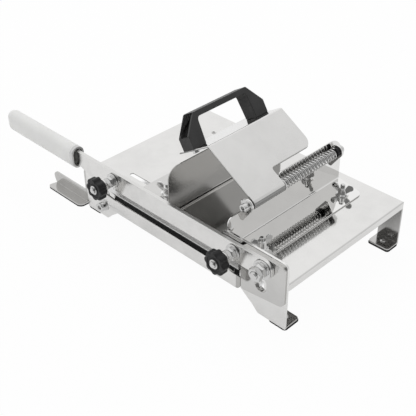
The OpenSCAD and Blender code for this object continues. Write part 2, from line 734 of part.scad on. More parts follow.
// left guide: an angle of sheet whose flange is clamped to the table
left_guide_front = -42.9;
guide_corner = 17;
flange_corner = 10;
guide_bend = 3.5;
guide_lift = 0.3;
module guide_angle(wall_x, side, flange, high, front, back) {
  standing(front, back - front)
    outline([[wall_x, guide_lift, guide_bend], [wall_x, high, 0],
      [wall_x + side * guide_sheet, high, 0],
      [wall_x + side * guide_sheet, guide_lift + guide_sheet, guide_bend - guide_sheet],
      [wall_x + side * flange, guide_lift + guide_sheet, 0],
      [wall_x + side * flange, guide_lift, 0]]);
}
module left_guide() color([0.8, 0.81, 0.82]) place() difference() {
  intersection() {
    guide_angle(left_guide_x, -1, left_flange, guide_high, left_guide_front, guide_back);
    lengthways(left_guide_x - 2 * left_flange, 3 * left_flange)
      outline([[left_guide_front, 0, 0], [guide_back, 0, 0],
        [guide_back, guide_high, guide_corner + wall_corner], [left_guide_front, guide_high, guide_corner]]);
    lying(0, 2 * guide_high)
      outline([[left_guide_x, left_guide_front, 0], [left_guide_x, guide_back, 0],
        [left_guide_x - left_flange, guide_back, flange_corner],
        [left_guide_x - left_flange, left_guide_front, flange_corner]]);
  }
  for (y = [clamp_front_y, clamp_back_y]) translate([clamp_left_x, y, 0])
    cylinder(h = guide_sheet + 1, r = clamp_radius, $fn = fine);
}

// right guide: low at the front and high at the back, with two tabs bent out that carry the rod
right_guide_front = -42.2;
right_inner = right_guide_x - guide_sheet;
step_corner = 7;
tab_neck_low = 30;
tab_neck_share = 0.4;
module rod_tab(front) {
  standing(front, tab_sheet) union() {
    translate([rod_x, rod_z]) circle(r = tab_radius, $fn = fine);
    outline([[right_guide_x - guide_sheet / 2, tab_neck_low, 0], [right_guide_x + 2, tab_neck_low, 1],
      [rod_x + tab_radius * 0.94, rod_z - tab_radius * 0.34, 0], [rod_x, rod_z + tab_radius * 0.3, 0],
      [right_guide_x - guide_sheet / 2, rod_z + tab_radius * tab_neck_share, 0]]);
  }
}
module right_guide() color([0.8, 0.81, 0.82]) place() difference() {
  union() {
    intersection() {
      guide_angle(right_inner, 1, right_flange, guide_high, right_guide_front, guide_back);
      lengthways(right_guide_x - 2 * right_flange, 4 * right_flange)
        outline([[right_guide_front, 0, 0], [guide_back, 0, 0],
          [guide_back, guide_high, guide_corner + wall_corner], [guide_step_y, guide_high, step_corner],
          [guide_step_y, guide_low, step_corner / 2], [right_guide_front, guide_low, step_corner]]);
      lying(0, 2 * guide_high)
        outline([[right_inner, right_guide_front, 0], [right_inner + right_flange, right_guide_front, flange_corner],
          [right_inner + right_flange, guide_back - flange_corner, flange_corner],
          [right_inner, guide_back, 0]]);
    }
    rod_tab(tab_front_y);
    rod_tab(tab_back_y);
    standing(tab_front_y, tab_sheet)
      outline([[right_inner, guide_low - 2, 0], [right_guide_x, guide_low - 2, 0],
        [right_guide_x, rod_z + tab_radius * tab_neck_share, 0],
        [right_inner, rod_z + tab_radius * tab_neck_share, 0]]);
  }
  for (y = [clamp_front_y, clamp_back_y]) translate([clamp_right_x, y, 0])
    cylinder(h = guide_sheet + 1, r = clamp_radius, $fn = fine);
  bar_y(rod_x, rod_z, tab_front_y - 1, tab_sheet + 1 + clear, rod_screw_radius);
  bar_y(rod_x, rod_z, tab_back_y - 1, tab_sheet + 2, rod_screw_radius);
}

// clamp bolts: flat heads under the table, shanks up through the slots and flanges
bolt_head = 2.6;
bolt_head_radius = 7;
bolt_top = 17;
module clamp_bolt(x, y) translate([x, y, 0]) {
  translate([0, 0, -table_sheet - guide_lift - bolt_head])
    cylinder(h = bolt_head, r = bolt_head_radius, $fn = fine);
  translate([0, 0, -table_sheet - guide_lift])
    cylinder(h = bolt_top + table_sheet + guide_lift - stud_tip, r = clamp_radius, $fn = fine);
  translate([0, 0, bolt_top - stud_tip])
    cylinder(h = stud_tip, r1 = clamp_radius, r2 = clamp_radius - stud_tip, $fn = fine);
}
module left_clamp_bolts() color([0.8, 0.8, 0.82]) place()
  for (y = [clamp_front_y, clamp_back_y]) clamp_bolt(clamp_left_x, y);
module right_clamp_bolts() color([0.8, 0.8, 0.82]) place()
  for (y = [clamp_front_y, clamp_back_y]) clamp_bolt(clamp_right_x, y);

// wing nut: a cone with two upright ears
nut_base = 0.05;
nut_washer_radius = 8.5;
wing_hub = 9;
wing_hub_radius = 5.8;
wing_hub_top = 4.5;
wing_thick = 2;
wing_tip_radius = 4.4;
wing_reach = 9.8;
wing_tip_z = 11.5;
module wing_nut(x, y, turn) translate([x, y, guide_lift + guide_sheet + nut_base]) rotate(turn) difference() {
  union() {
    cylinder(h = washer_thick - nut_base, r = nut_washer_radius, $fn = fine);
    translate([0, 0, washer_thick - nut_base])
      cylinder(h = wing_hub, r1 = wing_hub_radius, r2 = wing_hub_top, $fn = fine);
    for (s = [-1, 1]) standing(-wing_thick / 2, wing_thick) union() {
      translate([s * wing_reach, wing_tip_z]) circle(r = wing_tip_radius, $fn = small);
      polygon([[s * (wing_reach + wing_tip_radius * 0.92), wing_tip_z - wing_tip_radius * 0.4],
        [s * (wing_reach - wing_tip_radius * 0.75), wing_tip_z + wing_tip_radius * 0.66],
        [s * (clamp_radius + nut_gap * 4), wing_hub], [s * (clamp_radius + nut_gap * 4), washer_thick + 1],
        [s * wing_hub_radius * 0.9, washer_thick + 0.6]]);
    }
  }
  translate([0, 0, -1]) cylinder(h = bolt_top + 4, r = clamp_radius + thread_fit, $fn = fine);
}
module left_front_wing_nut() color([0.8, 0.8, 0.82]) place() wing_nut(clamp_left_x, clamp_front_y, 25);
module left_back_wing_nut() color([0.8, 0.8, 0.82]) place() wing_nut(clamp_left_x, clamp_back_y, 70);
module right_front_wing_nut() color([0.8, 0.8, 0.82]) place() wing_nut(clamp_right_x, clamp_front_y, 70);
module right_back_wing_nut() color([0.8, 0.8, 0.82]) place() wing_nut(clamp_right_x, clamp_back_y, 20);

// rod between the tabs, with a socket-head screw in front and a black cap at the back
rod_screw_radius = 3;
rod_head_radius = 5;
rod_head = 6;
rod_socket_radius = 2.9;
cap_radius = 6.3;
cap_long = 4;
module rod() color([0.85, 0.86, 0.87]) place()
  bar_y(rod_x, rod_z, tab_front_y + tab_sheet, tab_back_y - tab_front_y - tab_sheet, rod_radius);
module rod_screws() color([0.75, 0.75, 0.77]) place() {
  socket_screw(rod_x, rod_z, tab_front_y, nut_washer_radius, rod_head_radius, rod_head, rod_socket_radius);
  bar_y(rod_x, rod_z, tab_front_y, tab_sheet, rod_screw_radius);
  mirror_back() socket_screw(rod_x, rod_z, tab_front_y, nut_washer_radius, rod_head_radius, rod_head,
    rod_socket_radius);
  bar_y(rod_x, rod_z, tab_back_y, tab_sheet, rod_screw_radius);
}
module mirror_back() {
  translate([0, tab_front_y + tab_back_y + tab_sheet, 0]) mirror([0, 1, 0]) children();
}
module rod_cap() color([0.06, 0.06, 0.06]) place() difference() {
  bar_y(rod_x, rod_z, tab_back_y - cap_long, cap_long, cap_radius);
  bar_y(rod_x, rod_z, tab_back_y - cap_long - 1, cap_long + 2, rod_radius);
}

// feed spring: one unbroken wire round the rod, pushing the carriage to the front
barrel_inset = 2;
barrel_over = 0.5;
barrel_back = arm_back + barrel_over;
barrel_length = barrel_back - carriage_front - barrel_inset;
spring_washer_thick = 1;
spring_front = barrel_back + ear_clear + spring_washer_thick;
spring_back = tab_back_y - cap_long;
wire_sides = 6;
rings_per_curl = 8;
coil_radius = spring_radius - spring_wire;
spring_start = spring_front + spring_wire;
spring_end = spring_back - spring_wire;
spring_pitch = (spring_end - spring_start) / spring_curls;
lead_length = 2 * spring_wire;
ring_total = spring_curls * rings_per_curl;
function coil_point(i) = let (turn = i * 360 / rings_per_curl)
  [rod_x + coil_radius * sin(turn), spring_start + spring_pitch * i / rings_per_curl,
    rod_z + coil_radius * cos(turn)];
function coil_way(i) = let (turn = i * 360 / rings_per_curl, run = coil_radius * 2 * PI)
  unit([run * cos(turn), spring_pitch, -run * sin(turn)]);
function ring_mid(i) = i < 0 ? coil_point(0) - [1, 0, 0] * lead_length
  : i > ring_total ? coil_point(ring_total) + unit([coil_way(ring_total)[0], 0, coil_way(ring_total)[2]]) * lead_length
  : coil_point(i);
function ring_way(i) = i < 0 ? [1, 0, 0]
  : i > ring_total ? unit([coil_way(ring_total)[0], 0, coil_way(ring_total)[2]]) : coil_way(i);
function ring_out(i) = let (turn = min(max(i, 0), ring_total) * 360 / rings_per_curl) [sin(turn), 0, cos(turn)];
function ring_point(i, k) = let (out = ring_out(i), side = unit(cross(ring_way(i), out)))
  ring_mid(i) + (out * cos(k * 360 / wire_sides) + side * sin(k * 360 / wire_sides)) * spring_wire;
spring_points = [for (i = [-1 : ring_total + 1]) for (k = [0 : wire_sides - 1]) ring_point(i, k)];
last_ring = ring_total + 2;
spring_faces = concat(
  [[for (k = [0 : wire_sides - 1]) k]],
  [for (i = [0 : last_ring - 1]) for (k = [0 : wire_sides - 1])
    [i * wire_sides + k, (i + 1) * wire_sides + k, (i + 1) * wire_sides + (k + 1) % wire_sides]],
  [for (i = [0 : last_ring - 1]) for (k = [0 : wire_sides - 1])
    [i * wire_sides + k, (i + 1) * wire_sides + (k + 1) % wire_sides, i * wire_sides + (k + 1) % wire_sides]],
  [[for (k = [wire_sides - 1 : -1 : 0]) last_ring * wire_sides + k]]);
spring_self_gap = spring_pitch - 2 * spring_wire;
echo(spring_self_gap = spring_self_gap);
module feed_spring() color([0.78, 0.78, 0.8]) place()
  polyhedron(points = spring_points, faces = spring_faces, convexity = 10);

// washer between the barrel and the spring
spring_washer_radius = 7.6;
module spring_washer() color([0.8, 0.8, 0.82]) place() difference() {
  bar_y(rod_x, rod_z, barrel_back + ear_clear, spring_washer_thick, spring_washer_radius);
  bar_y(rod_x, rod_z, barrel_back, spring_washer_thick + 1, rod_radius + thread_fit);
}

// carriage: one sheet folded at the ridge, with an arm that runs on down and rolls round the rod
tip_x = ridge_x - leaf_length * cos(leaf_slope);
tip_z = ridge_z - leaf_length * sin(leaf_slope);
roof_slope = atan2(ridge_z - rod_z, rod_x - ridge_x)
  - asin(roll_radius / norm([rod_x - ridge_x, ridge_z - rod_z]));
roll_inner = roll_radius - carriage_sheet;
roll_end = -60;
leaf_down = [sin(leaf_slope), -cos(leaf_slope)] * carriage_sheet;
roof_way = [cos(roof_slope), -sin(roof_slope)];
roof_out = [sin(roof_slope), cos(roof_slope)];
roof_end = [rod_x, rod_z] + roof_out * roll_radius;
roof_end_under = [rod_x, rod_z] + roof_out * roll_inner;
ridge_under = meeting([tip_x, tip_z] + leaf_down, [cos(leaf_slope), sin(leaf_slope)],
  roof_end_under, roof_way);
function meeting(p, d, q, e) = p + d * ((q[0] - p[0]) * e[1] - (q[1] - p[1]) * e[0])
  / (d[0] * e[1] - d[1] * e[0]);
ridge_fold = 3;
sheet_corner = 7;
arm_corner = 4;
arm_end = rod_x + roll_radius + arm_corner;
module carriage() color([0.82, 0.83, 0.84]) place() difference() {
  carriage_sheet_shape();
  on_leaf(handle_offset)
    for (y = [handle_screw_front, 2 * handle_front + handle_length - handle_screw_front])
      translate([-handle_wide / 2, y, -2 * carriage_sheet])
        cylinder(h = 3 * carriage_sheet, r = handle_screw_radius, $fn = small);
}
module roll_shape() translate([rod_x, rod_z]) intersection() {
  difference() {
    circle(r = roll_radius, $fn = fine);
    circle(r = roll_inner, $fn = fine);
  }
  polygon([[0, 0], for (turn = [90 - roof_slope, (90 - roof_slope + roll_end) / 2, roll_end])
    [cos(turn), sin(turn)] * 3 * roll_radius]);
}
module carriage_sheet_shape() intersection() {
  standing(carriage_front, carriage_back - carriage_front) union() {
    outline([[tip_x, tip_z, 0], [tip_x + leaf_down[0], tip_z + leaf_down[1], 0],
      [ridge_under[0], ridge_under[1], ridge_fold - carriage_sheet],
      [roof_end_under[0], roof_end_under[1], 0], [roof_end[0], roof_end[1], 0],
      [ridge_x, ridge_z, ridge_fold]]);
    roll_shape();
  }
  lying(0, 2 * ridge_z)
    outline([[tip_x, carriage_front, sheet_corner], [arm_end, carriage_front, 0],
      [arm_end, arm_back, 0], [roof_edge_x, arm_back, arm_corner],
      [roof_edge_x, carriage_back, sheet_corner * 1.6], [tip_x, carriage_back, sheet_corner]]);
}

// barrel inside the roll of the arm, running on the rod
barrel_fit = 0.05;
module carriage_barrel() color([0.8, 0.81, 0.82]) place() difference() {
  bar_y(rod_x, rod_z, carriage_front + barrel_inset, barrel_length, roll_inner);
  bar_y(rod_x, rod_z, carriage_front + barrel_inset - clear, barrel_length + 2 * clear,
    rod_radius + barrel_fit);
}

// handle: a bridge of plastic across the left leaf, with a pocket in each sloping end
handle_shoulder_high = 17;
handle_shoulder_run = 20;
handle_foot = 21;
handle_lean = 2.5;
handle_fold = 3;
handle_inner_fold = 5;
pocket_wide = 13;
pocket_low = 16.5;
pocket_high = 40;
pocket_deep = 9;
module on_leaf(offset) {
  translate([ridge_x, 0, ridge_z]) rotate([0, -leaf_slope, 0]) translate([-offset, 0, 0]) children();
}
module handle_outline() {
  difference() {
    outline([[handle_front, 0, 1], [handle_front + handle_length, 0, 1],
      [handle_front + handle_length, handle_shoulder_high, handle_fold],
      [handle_front + handle_length - handle_shoulder_run, handle_high, handle_fold],
      [handle_front + handle_shoulder_run, handle_high, handle_fold],
      [handle_front, handle_shoulder_high, handle_fold]]);
    outline([[handle_front + handle_foot, -1, 0], [handle_front + handle_length - handle_foot, -1, 0],
      [handle_front + handle_length - handle_foot - handle_lean, handle_high - handle_bar, handle_inner_fold],
      [handle_front + handle_foot + handle_lean, handle_high - handle_bar, handle_inner_fold]]);
  }
}
pocket_front = handle_front - 1;
module handle_pocket() {
  translate([-(handle_wide + pocket_wide) / 2, 0, 0]) lengthways(0, pocket_wide)
    polygon([[pocket_front, pocket_low], [handle_front + pocket_deep, pocket_low],
      [handle_front + handle_shoulder_run + 1, handle_high - handle_bar + 3],
      [handle_front + handle_shoulder_run - 1, pocket_high], [pocket_front, pocket_high]]);
}
module carriage_handle() color([0.07, 0.07, 0.07]) place() on_leaf(handle_offset) difference() {
  translate([-handle_wide, 0, 0]) lengthways(0, handle_wide) handle_outline();
  handle_pocket();
  translate([0, 2 * handle_front + handle_length, 0]) mirror([0, 1, 0]) handle_pocket();
  for (y = [handle_screw_front, 2 * handle_front + handle_length - handle_screw_front])
    translate([-handle_wide / 2, y, -1]) cylinder(h = handle_screw_deep + 1, r = handle_screw_radius, $fn = small);
}

// screws up through the leaf into the feet of the handle
handle_screw_radius = 2.5;
handle_screw_front = -10;
handle_screw_deep = 12;
handle_screw_head = 3.5;
handle_screw_head_radius = 4.6;
module handle_screws() color([0.75, 0.75, 0.77]) place() on_leaf(handle_offset)
  for (y = [handle_screw_front, 2 * handle_front + handle_length - handle_screw_front])
    translate([-handle_wide / 2, y, 0]) {
      translate([0, 0, -carriage_sheet]) cylinder(h = carriage_sheet + handle_screw_deep, r = handle_screw_radius, $fn = small);
      translate([0, 0, -carriage_sheet - handle_screw_head])
        cylinder(h = handle_screw_head, r = handle_screw_head_radius, $fn = 6);
    }

// moves a node so that the object stands on the floor about its middle
middle_x = (grip_left + table_right + pad_over) / 2;
middle_y = (stud_end + table_back) / 2;
module place() {
  translate([-middle_x, -middle_y, table_height]) children();
}

table();
front_wall();
rear_leg_right();
rear_leg_left();
foot_pads();
foot_rivets();
side_bracket();
bracket_pad();
bracket_screw();
pivot_plate();
pivot_bolt();
pivot_nuts();
lever_bar();
blade();
stop_studs();
grip();
grip_collar();
stop_plate();
adjuster_left();
adjuster_right();
knob_left();
knob_right();
left_guide();
left_clamp_bolts();
left_front_wing_nut();
left_back_wing_nut();
right_guide();
right_clamp_bolts();
right_front_wing_nut();
right_back_wing_nut();
rod();
rod_screws();
rod_cap();
feed_spring();
spring_washer();
carriage();
carriage_barrel();
carriage_handle();
handle_screws();
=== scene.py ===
"""Looks of a lever slicer for dried meat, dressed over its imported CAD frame.

Every length is given in millimetres in the drawing frame of the part and brought to the row frame,
in metres, by spot() and MM. Each sub-assembly is a class that builds its finer shapes and dresses
its pieces; each finish is a small class that makes one material.
"""

import logging
import math
from dataclasses import dataclass
from enum import Enum
from typing import ClassVar

import bmesh
import bpy
from mathutils import Matrix, Vector


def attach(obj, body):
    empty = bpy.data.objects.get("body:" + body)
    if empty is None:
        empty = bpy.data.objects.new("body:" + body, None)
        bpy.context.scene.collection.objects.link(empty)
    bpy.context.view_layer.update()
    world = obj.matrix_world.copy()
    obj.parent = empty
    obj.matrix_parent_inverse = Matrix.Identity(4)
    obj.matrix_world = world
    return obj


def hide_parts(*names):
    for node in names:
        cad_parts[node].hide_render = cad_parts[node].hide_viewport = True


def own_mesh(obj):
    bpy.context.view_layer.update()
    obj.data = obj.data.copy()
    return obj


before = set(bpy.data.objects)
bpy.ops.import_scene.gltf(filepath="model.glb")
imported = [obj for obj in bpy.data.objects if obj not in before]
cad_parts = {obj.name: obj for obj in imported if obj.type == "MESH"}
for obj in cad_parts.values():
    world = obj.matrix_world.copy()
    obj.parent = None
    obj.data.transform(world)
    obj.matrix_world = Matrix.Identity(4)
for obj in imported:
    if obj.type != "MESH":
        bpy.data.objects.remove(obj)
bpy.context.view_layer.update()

log = logging.getLogger("slicer")
Colour = tuple[float, float, float]
Area = tuple[float, float, float, float]
MM = 0.001
DRAWING_ORIGIN = Vector((89.75, -47.0, 68.0))
X_WAY: Colour = (1.0, 0.0, 0.0)
Y_WAY: Colour = (0.0, 1.0, 0.0)
Z_WAY: Colour = (0.0, 0.0, 1.0)
MERGE_GAP = 0.001
WELD_GAP = 0.002
FLAT_DEGREES = 0.4
SOFT_DEGREES = 30.0


class Along(Enum):
    """Direction of a grain or of an axis, in the row frame."""

    X = 0
    Y = 1
    Z = 2


class Slot(Enum):
    """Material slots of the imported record."""

    SHEET = "sheet_steel"
    LEVER = "lever_steel"
    BLADE = "blade_steel"
    COLLAR = "collar_steel"
    BRIGHT = "bright_steel"
    SPRING = "spring_steel"
    WHITE = "white_plastic"
    BLACK = "black_plastic"
    RUBBER = "rubber"


def spot(x: float, y: float, z: float) -> Vector:
    """Brings a point of the drawing frame, in mm, to the row frame, in metres.

    Args:
        x: place left to right.
        y: place front to back.
        z: height above the table top.

    Returns:
        The point in the row frame.
    """
    return (Vector((x, y, z)) + DRAWING_ORIGIN) * MM


def grey(level: float, tint: tuple[float, float] = (0.0, 0.0)) -> Colour:
    """Grey with a little less green and blue.

    Args:
        level: its red value.
        tint: how much less green and how much less blue it has.

    Returns:
        The colour.
    """
    return level, level - tint[0], level - tint[1]


class Wire:
    """A socket of a node tree, with Python arithmetic that adds Math nodes."""

    def __init__(self, shader: "Shader", socket: bpy.types.NodeSocket) -> None:
        """Keeps the tree and the socket."""
        self.shader = shader
        self.socket = socket

    def _math(self, operation: str, first: "Wire | float", second: "Wire | float" = 0.0) -> "Wire":
        """Adds one Math node.

        Args:
            operation: Blender's name for what it does.
            first: its first value.
            second: its second value, if it has one.

        Returns:
            Its result.
        """
        return self.shader.node("ShaderNodeMath", {"operation": operation}, {0: first, 1: second})

    def __add__(self, other: "Wire | float") -> "Wire":
        """Sum."""
        return self._math("ADD", self, other)

    def __radd__(self, other: float) -> "Wire":
        """Sum with a number on the left."""
        return self._math("ADD", other, self)

    def __sub__(self, other: "Wire | float") -> "Wire":
        """Difference."""
        return self._math("SUBTRACT", self, other)

    def __rsub__(self, other: float) -> "Wire":
        """Difference from a number."""
        return self._math("SUBTRACT", other, self)

    def __mul__(self, other: "Wire | float") -> "Wire":
        """Product."""
        return self._math("MULTIPLY", self, other)

    def size(self) -> "Wire":
        """The value without its sign."""
        return self._math("ABSOLUTE", self)

    def larger(self, other: "Wire | float") -> "Wire":
        """The larger of two values."""
        return self._math("MAXIMUM", self, other)

    def above(self, limit: float) -> "Wire":
        """1 where the value is above the limit, else 0."""
        return self._math("GREATER_THAN", self, limit)

    def ramp(self, low: float, high: float) -> "Wire":
        """Goes smoothly from 0 to 1.

        Args:
            low: value up to which the result is 0.
            high: value from which the result is 1.

        Returns:
            The result.
        """
        return self.shader.node(
            "ShaderNodeMapRange",
            {"interpolation_type": "SMOOTHSTEP"},
            {"Value": self, "From Min": low, "From Max": high},
        )


class Shader:
    """The node tree of one material or of the world."""

    def __init__(self, tree: bpy.types.NodeTree) -> None:
        """Empties the tree."""
        self.tree = tree
        tree.nodes.clear()

    def node(self, kind: str, settings: dict | None = None, inputs: dict | None = None,
             output: str | int = 0) -> Wire:
        """Adds a node.

        Args:
            kind: Blender's name for the node type.
            settings: properties that are set first.
            inputs: values or wires by socket name or number.
            output: which socket to return.

        Returns:
            The wanted output socket.
        """
        made = self.tree.nodes.new(kind)
        for name, value in (settings or {}).items():
            setattr(made, name, value)
        for name, value in (inputs or {}).items():
            if isinstance(value, Wire):
                self.tree.links.new(value.socket, made.inputs[name])
            else:
                made.inputs[name].default_value = value
        return Wire(self, made.outputs[output] if made.outputs else None)

    def place(self) -> Wire:
        """Position on the object in metres; every piece is built in the row frame."""
        return self.node("ShaderNodeTexCoord", output="Object")

    def axes(self, where: Wire) -> tuple[Wire, Wire, Wire]:
        """The three coordinates of a position or direction."""
        x, y, z = (self.node("ShaderNodeSeparateXYZ", inputs={0: where}, output=axis) for axis in range(3))
        return x, y, z

    def noise(self, scale: float | Colour, detail: float, rough: float, shift: float = 0.0) -> Wire:
        """Noise from 0 to 1.

        Args:
            scale: its scale per metre, one number or one for each axis.
            detail: how many finer layers it has.
            rough: how strong they are.
            shift: moves it, so that two noises differ.

        Returns:
            The noise.
        """
        scales = scale if isinstance(scale, tuple) else (scale, scale, scale)
        where = self.node("ShaderNodeMapping",
                          inputs={"Vector": self.place(), "Scale": scales, "Location": (shift, shift, shift)})
        return self.node("ShaderNodeTexNoise",
                         inputs={"Vector": where, "Scale": 1.0, "Detail": detail, "Roughness": rough})

    def blend(self, share: Wire, first: Colour | Wire, second: Colour | Wire) -> Wire:
        """Mixes two colours.

        Args:
            share: how much of the second there is, from 0 to 1.
            first: the colour at 0.
            second: the colour at 1.

        Returns:
            The mixed colour.
        """
        full = [(*c, 1.0) if isinstance(c, tuple) else c for c in (first, second)]
        return self.node("ShaderNodeMix", {"data_type": "RGBA"}, {0: share, 6: full[0], 7: full[1]},
                         output=2)

    def bump(self, height: Wire, depth_mm: float, strength: float = 1.0) -> Wire:
        """Normal from a height.

        Args:
            height: the height, from 0 to 1.
            depth_mm: what a height of 1 stands for, in mm.
            strength: how strongly it shows.

        Returns:
            The normal.
        """
        return self.node("ShaderNodeBump",
                         inputs={"Height": height, "Distance": depth_mm * MM, "Strength": strength})

    def end(self, shading: Wire, kind: str = "Material") -> None:
        """Ends the tree of a material or of the world with its shading."""
        self.node(f"ShaderNodeOutput{kind}", inputs={"Surface": shading})


@dataclass(frozen=True)
class Finish:
    """What every finish has."""

    name: str
    slot: Slot

    def draw(self, shader: Shader) -> None:
        """Fills the tree; each finish has its own."""
        raise NotImplementedError

    def material(self) -> bpy.types.Material:
        """Makes the material once and then returns the same one."""
        found = bpy.data.materials.get(self.name)
        if found is None:
            found = bpy.data.materials.new(self.name)
            found.use_nodes = True
            self.draw(Shader(found.node_tree))
        return found


@dataclass(frozen=True)
class Zone:
    """Part of a finish with another colour: painted shade or painted reflection, and on the lever a duller cut
    edge.

    Each limit is (direction, low, high): a point is in the zone where direction * position, in drawing
    mm, lies between low and high for every limit.
    """

    limits: tuple[tuple[Colour, float, float], ...]
    colour: Colour
    roughness: float

    def mask(self, shader: Shader) -> Wire:
        """1 inside the zone, else 0."""
        x, y, z = shader.axes(shader.place())
        share = None
        for direction, low, high in self.limits:
            shift = sum(d * o for d, o in zip(direction, DRAWING_ORIGIN))
            along = x * direction[0] + y * direction[1] + z * direction[2]
            inside = along.above((low + shift) * MM) - along.above((high + shift) * MM)
            share = inside if share is None else share * inside
        return share


@dataclass(frozen=True)
class Steel(Finish):
    """Bare or plated steel: fine grain in one direction, hand smudges and a few hairline marks."""

    GRAIN_ACROSS: ClassVar[float] = 2600.0
    GRAIN_ALONG: ClassVar[float] = 26.0
    EVEN_GRAIN: ClassVar[float] = 700.0
    SMEAR_SCALE: ClassVar[float] = 14.0
    PATCH_SCALE: ClassVar[float] = 60.0
    SMEAR_SHARE: ClassVar[float] = 0.65
    HAIR_SCALE: ClassVar[float] = 0.35
    HAIR_ROUGH: ClassVar[float] = 0.05
    SMUDGE_DULLS: ClassVar[float] = 2.2
    SMUDGE_ROUGHENS: ClassVar[float] = 1.6
    SMOOTHEST: ClassVar[float] = 0.03

    colour: Colour
    roughness: float
    grain: Along | None
    grain_share: float
    grain_depth: float
    smudge: float
    shift: float = 0.0
    zones: tuple[Zone, ...] = ()

    def draw(self, shader: Shader) -> None:
        """Grain moves roughness and bump, smudges move colour and roughness, zones replace both, mostly with
        painted shade and painted reflection.
        """
        if self.grain is None:
            scales = (self.EVEN_GRAIN,) * 3
        else:
            scales = tuple(self.GRAIN_ALONG if axis == self.grain.value else self.GRAIN_ACROSS
                           for axis in range(3))
        grain = shader.noise(scales, 2.0, 0.6, self.shift)
        smear = shader.noise(self.SMEAR_SCALE, 4.0, 0.6, self.shift + 3.0)
        patch = shader.noise(self.PATCH_SCALE, 3.0, 0.5, self.shift + 7.0)
        cloud = smear * self.SMEAR_SHARE + patch * (1.0 - self.SMEAR_SHARE)
        thin = tuple(s * self.HAIR_SCALE for s in scales)
        hairs = shader.noise(thin, 1.0, 0.4, self.shift + 11.0).ramp(0.70, 0.78)
        dull = tuple(c * (1.0 - self.SMUDGE_DULLS * self.smudge) for c in self.colour)
        colour = shader.blend(cloud.ramp(0.35, 0.7), self.colour, dull)
        rough = (self.roughness + (grain - 0.5) * self.grain_share
                 + (cloud - 0.5) * self.smudge * self.SMUDGE_ROUGHENS + hairs * self.HAIR_ROUGH)
        for zone in self.zones:
            share = zone.mask(shader)
            colour = shader.blend(share, colour, zone.colour)
            rough = rough + share * (zone.roughness - self.roughness)
        shader.end(shader.node("ShaderNodeBsdfPrincipled", inputs={
            "Base Color": colour,
            "Metallic": 1.0,
            "Roughness": rough.larger(self.SMOOTHEST),
            "Normal": shader.bump(grain, self.grain_depth),
        }))


@dataclass(frozen=True)
class Moulded(Finish):
    """Moulded plastic or rubber: fine moulding grain, faint clouding and handling shine."""

    CLOUD_SCALE: ClassVar[float] = 45.0
    FLECK_SCALE: ClassVar[float] = 420.0
    CLOUD_SHARE: ClassVar[float] = 0.6
    FLECK_SHARE: ClassVar[float] = 0.25
    GRAIN_ROUGHENS: ClassVar[float] = 0.08
    BUMP: ClassVar[float] = 0.6
    SKIN_DEPTH: ClassVar[Colour] = (0.004, 0.004, 0.0035)

    colour: Colour
    pale: Colour
    roughness: float
    grain_depth: float
    grain_scale: float
    shine: float
    specular: float
    skin: float = 0.0

    def draw(self, shader: Shader) -> None:
        """Grain moves bump, clouds move colour and roughness."""
        grain = shader.noise(self.grain_scale, 3.0, 0.65)
        cloud = shader.noise(self.CLOUD_SCALE, 4.0, 0.6, 5.0)
        fleck = shader.noise(self.FLECK_SCALE, 2.0, 0.5, 9.0).ramp(0.62, 0.75)
        share = cloud.ramp(0.3, 0.75) * self.CLOUD_SHARE + fleck * self.FLECK_SHARE
        shader.end(shader.node("ShaderNodeBsdfPrincipled", inputs={
            "Base Color": shader.blend(share, self.colour, self.pale),
            "Roughness": self.roughness + (cloud - 0.5) * self.shine + (grain - 0.5) * self.GRAIN_ROUGHENS,
            "Specular IOR Level": self.specular,
            "Subsurface Weight": self.skin,
            "Subsurface Radius": self.SKIN_DEPTH,
            "Normal": shader.bump(grain, self.grain_depth, self.BUMP),
        }))


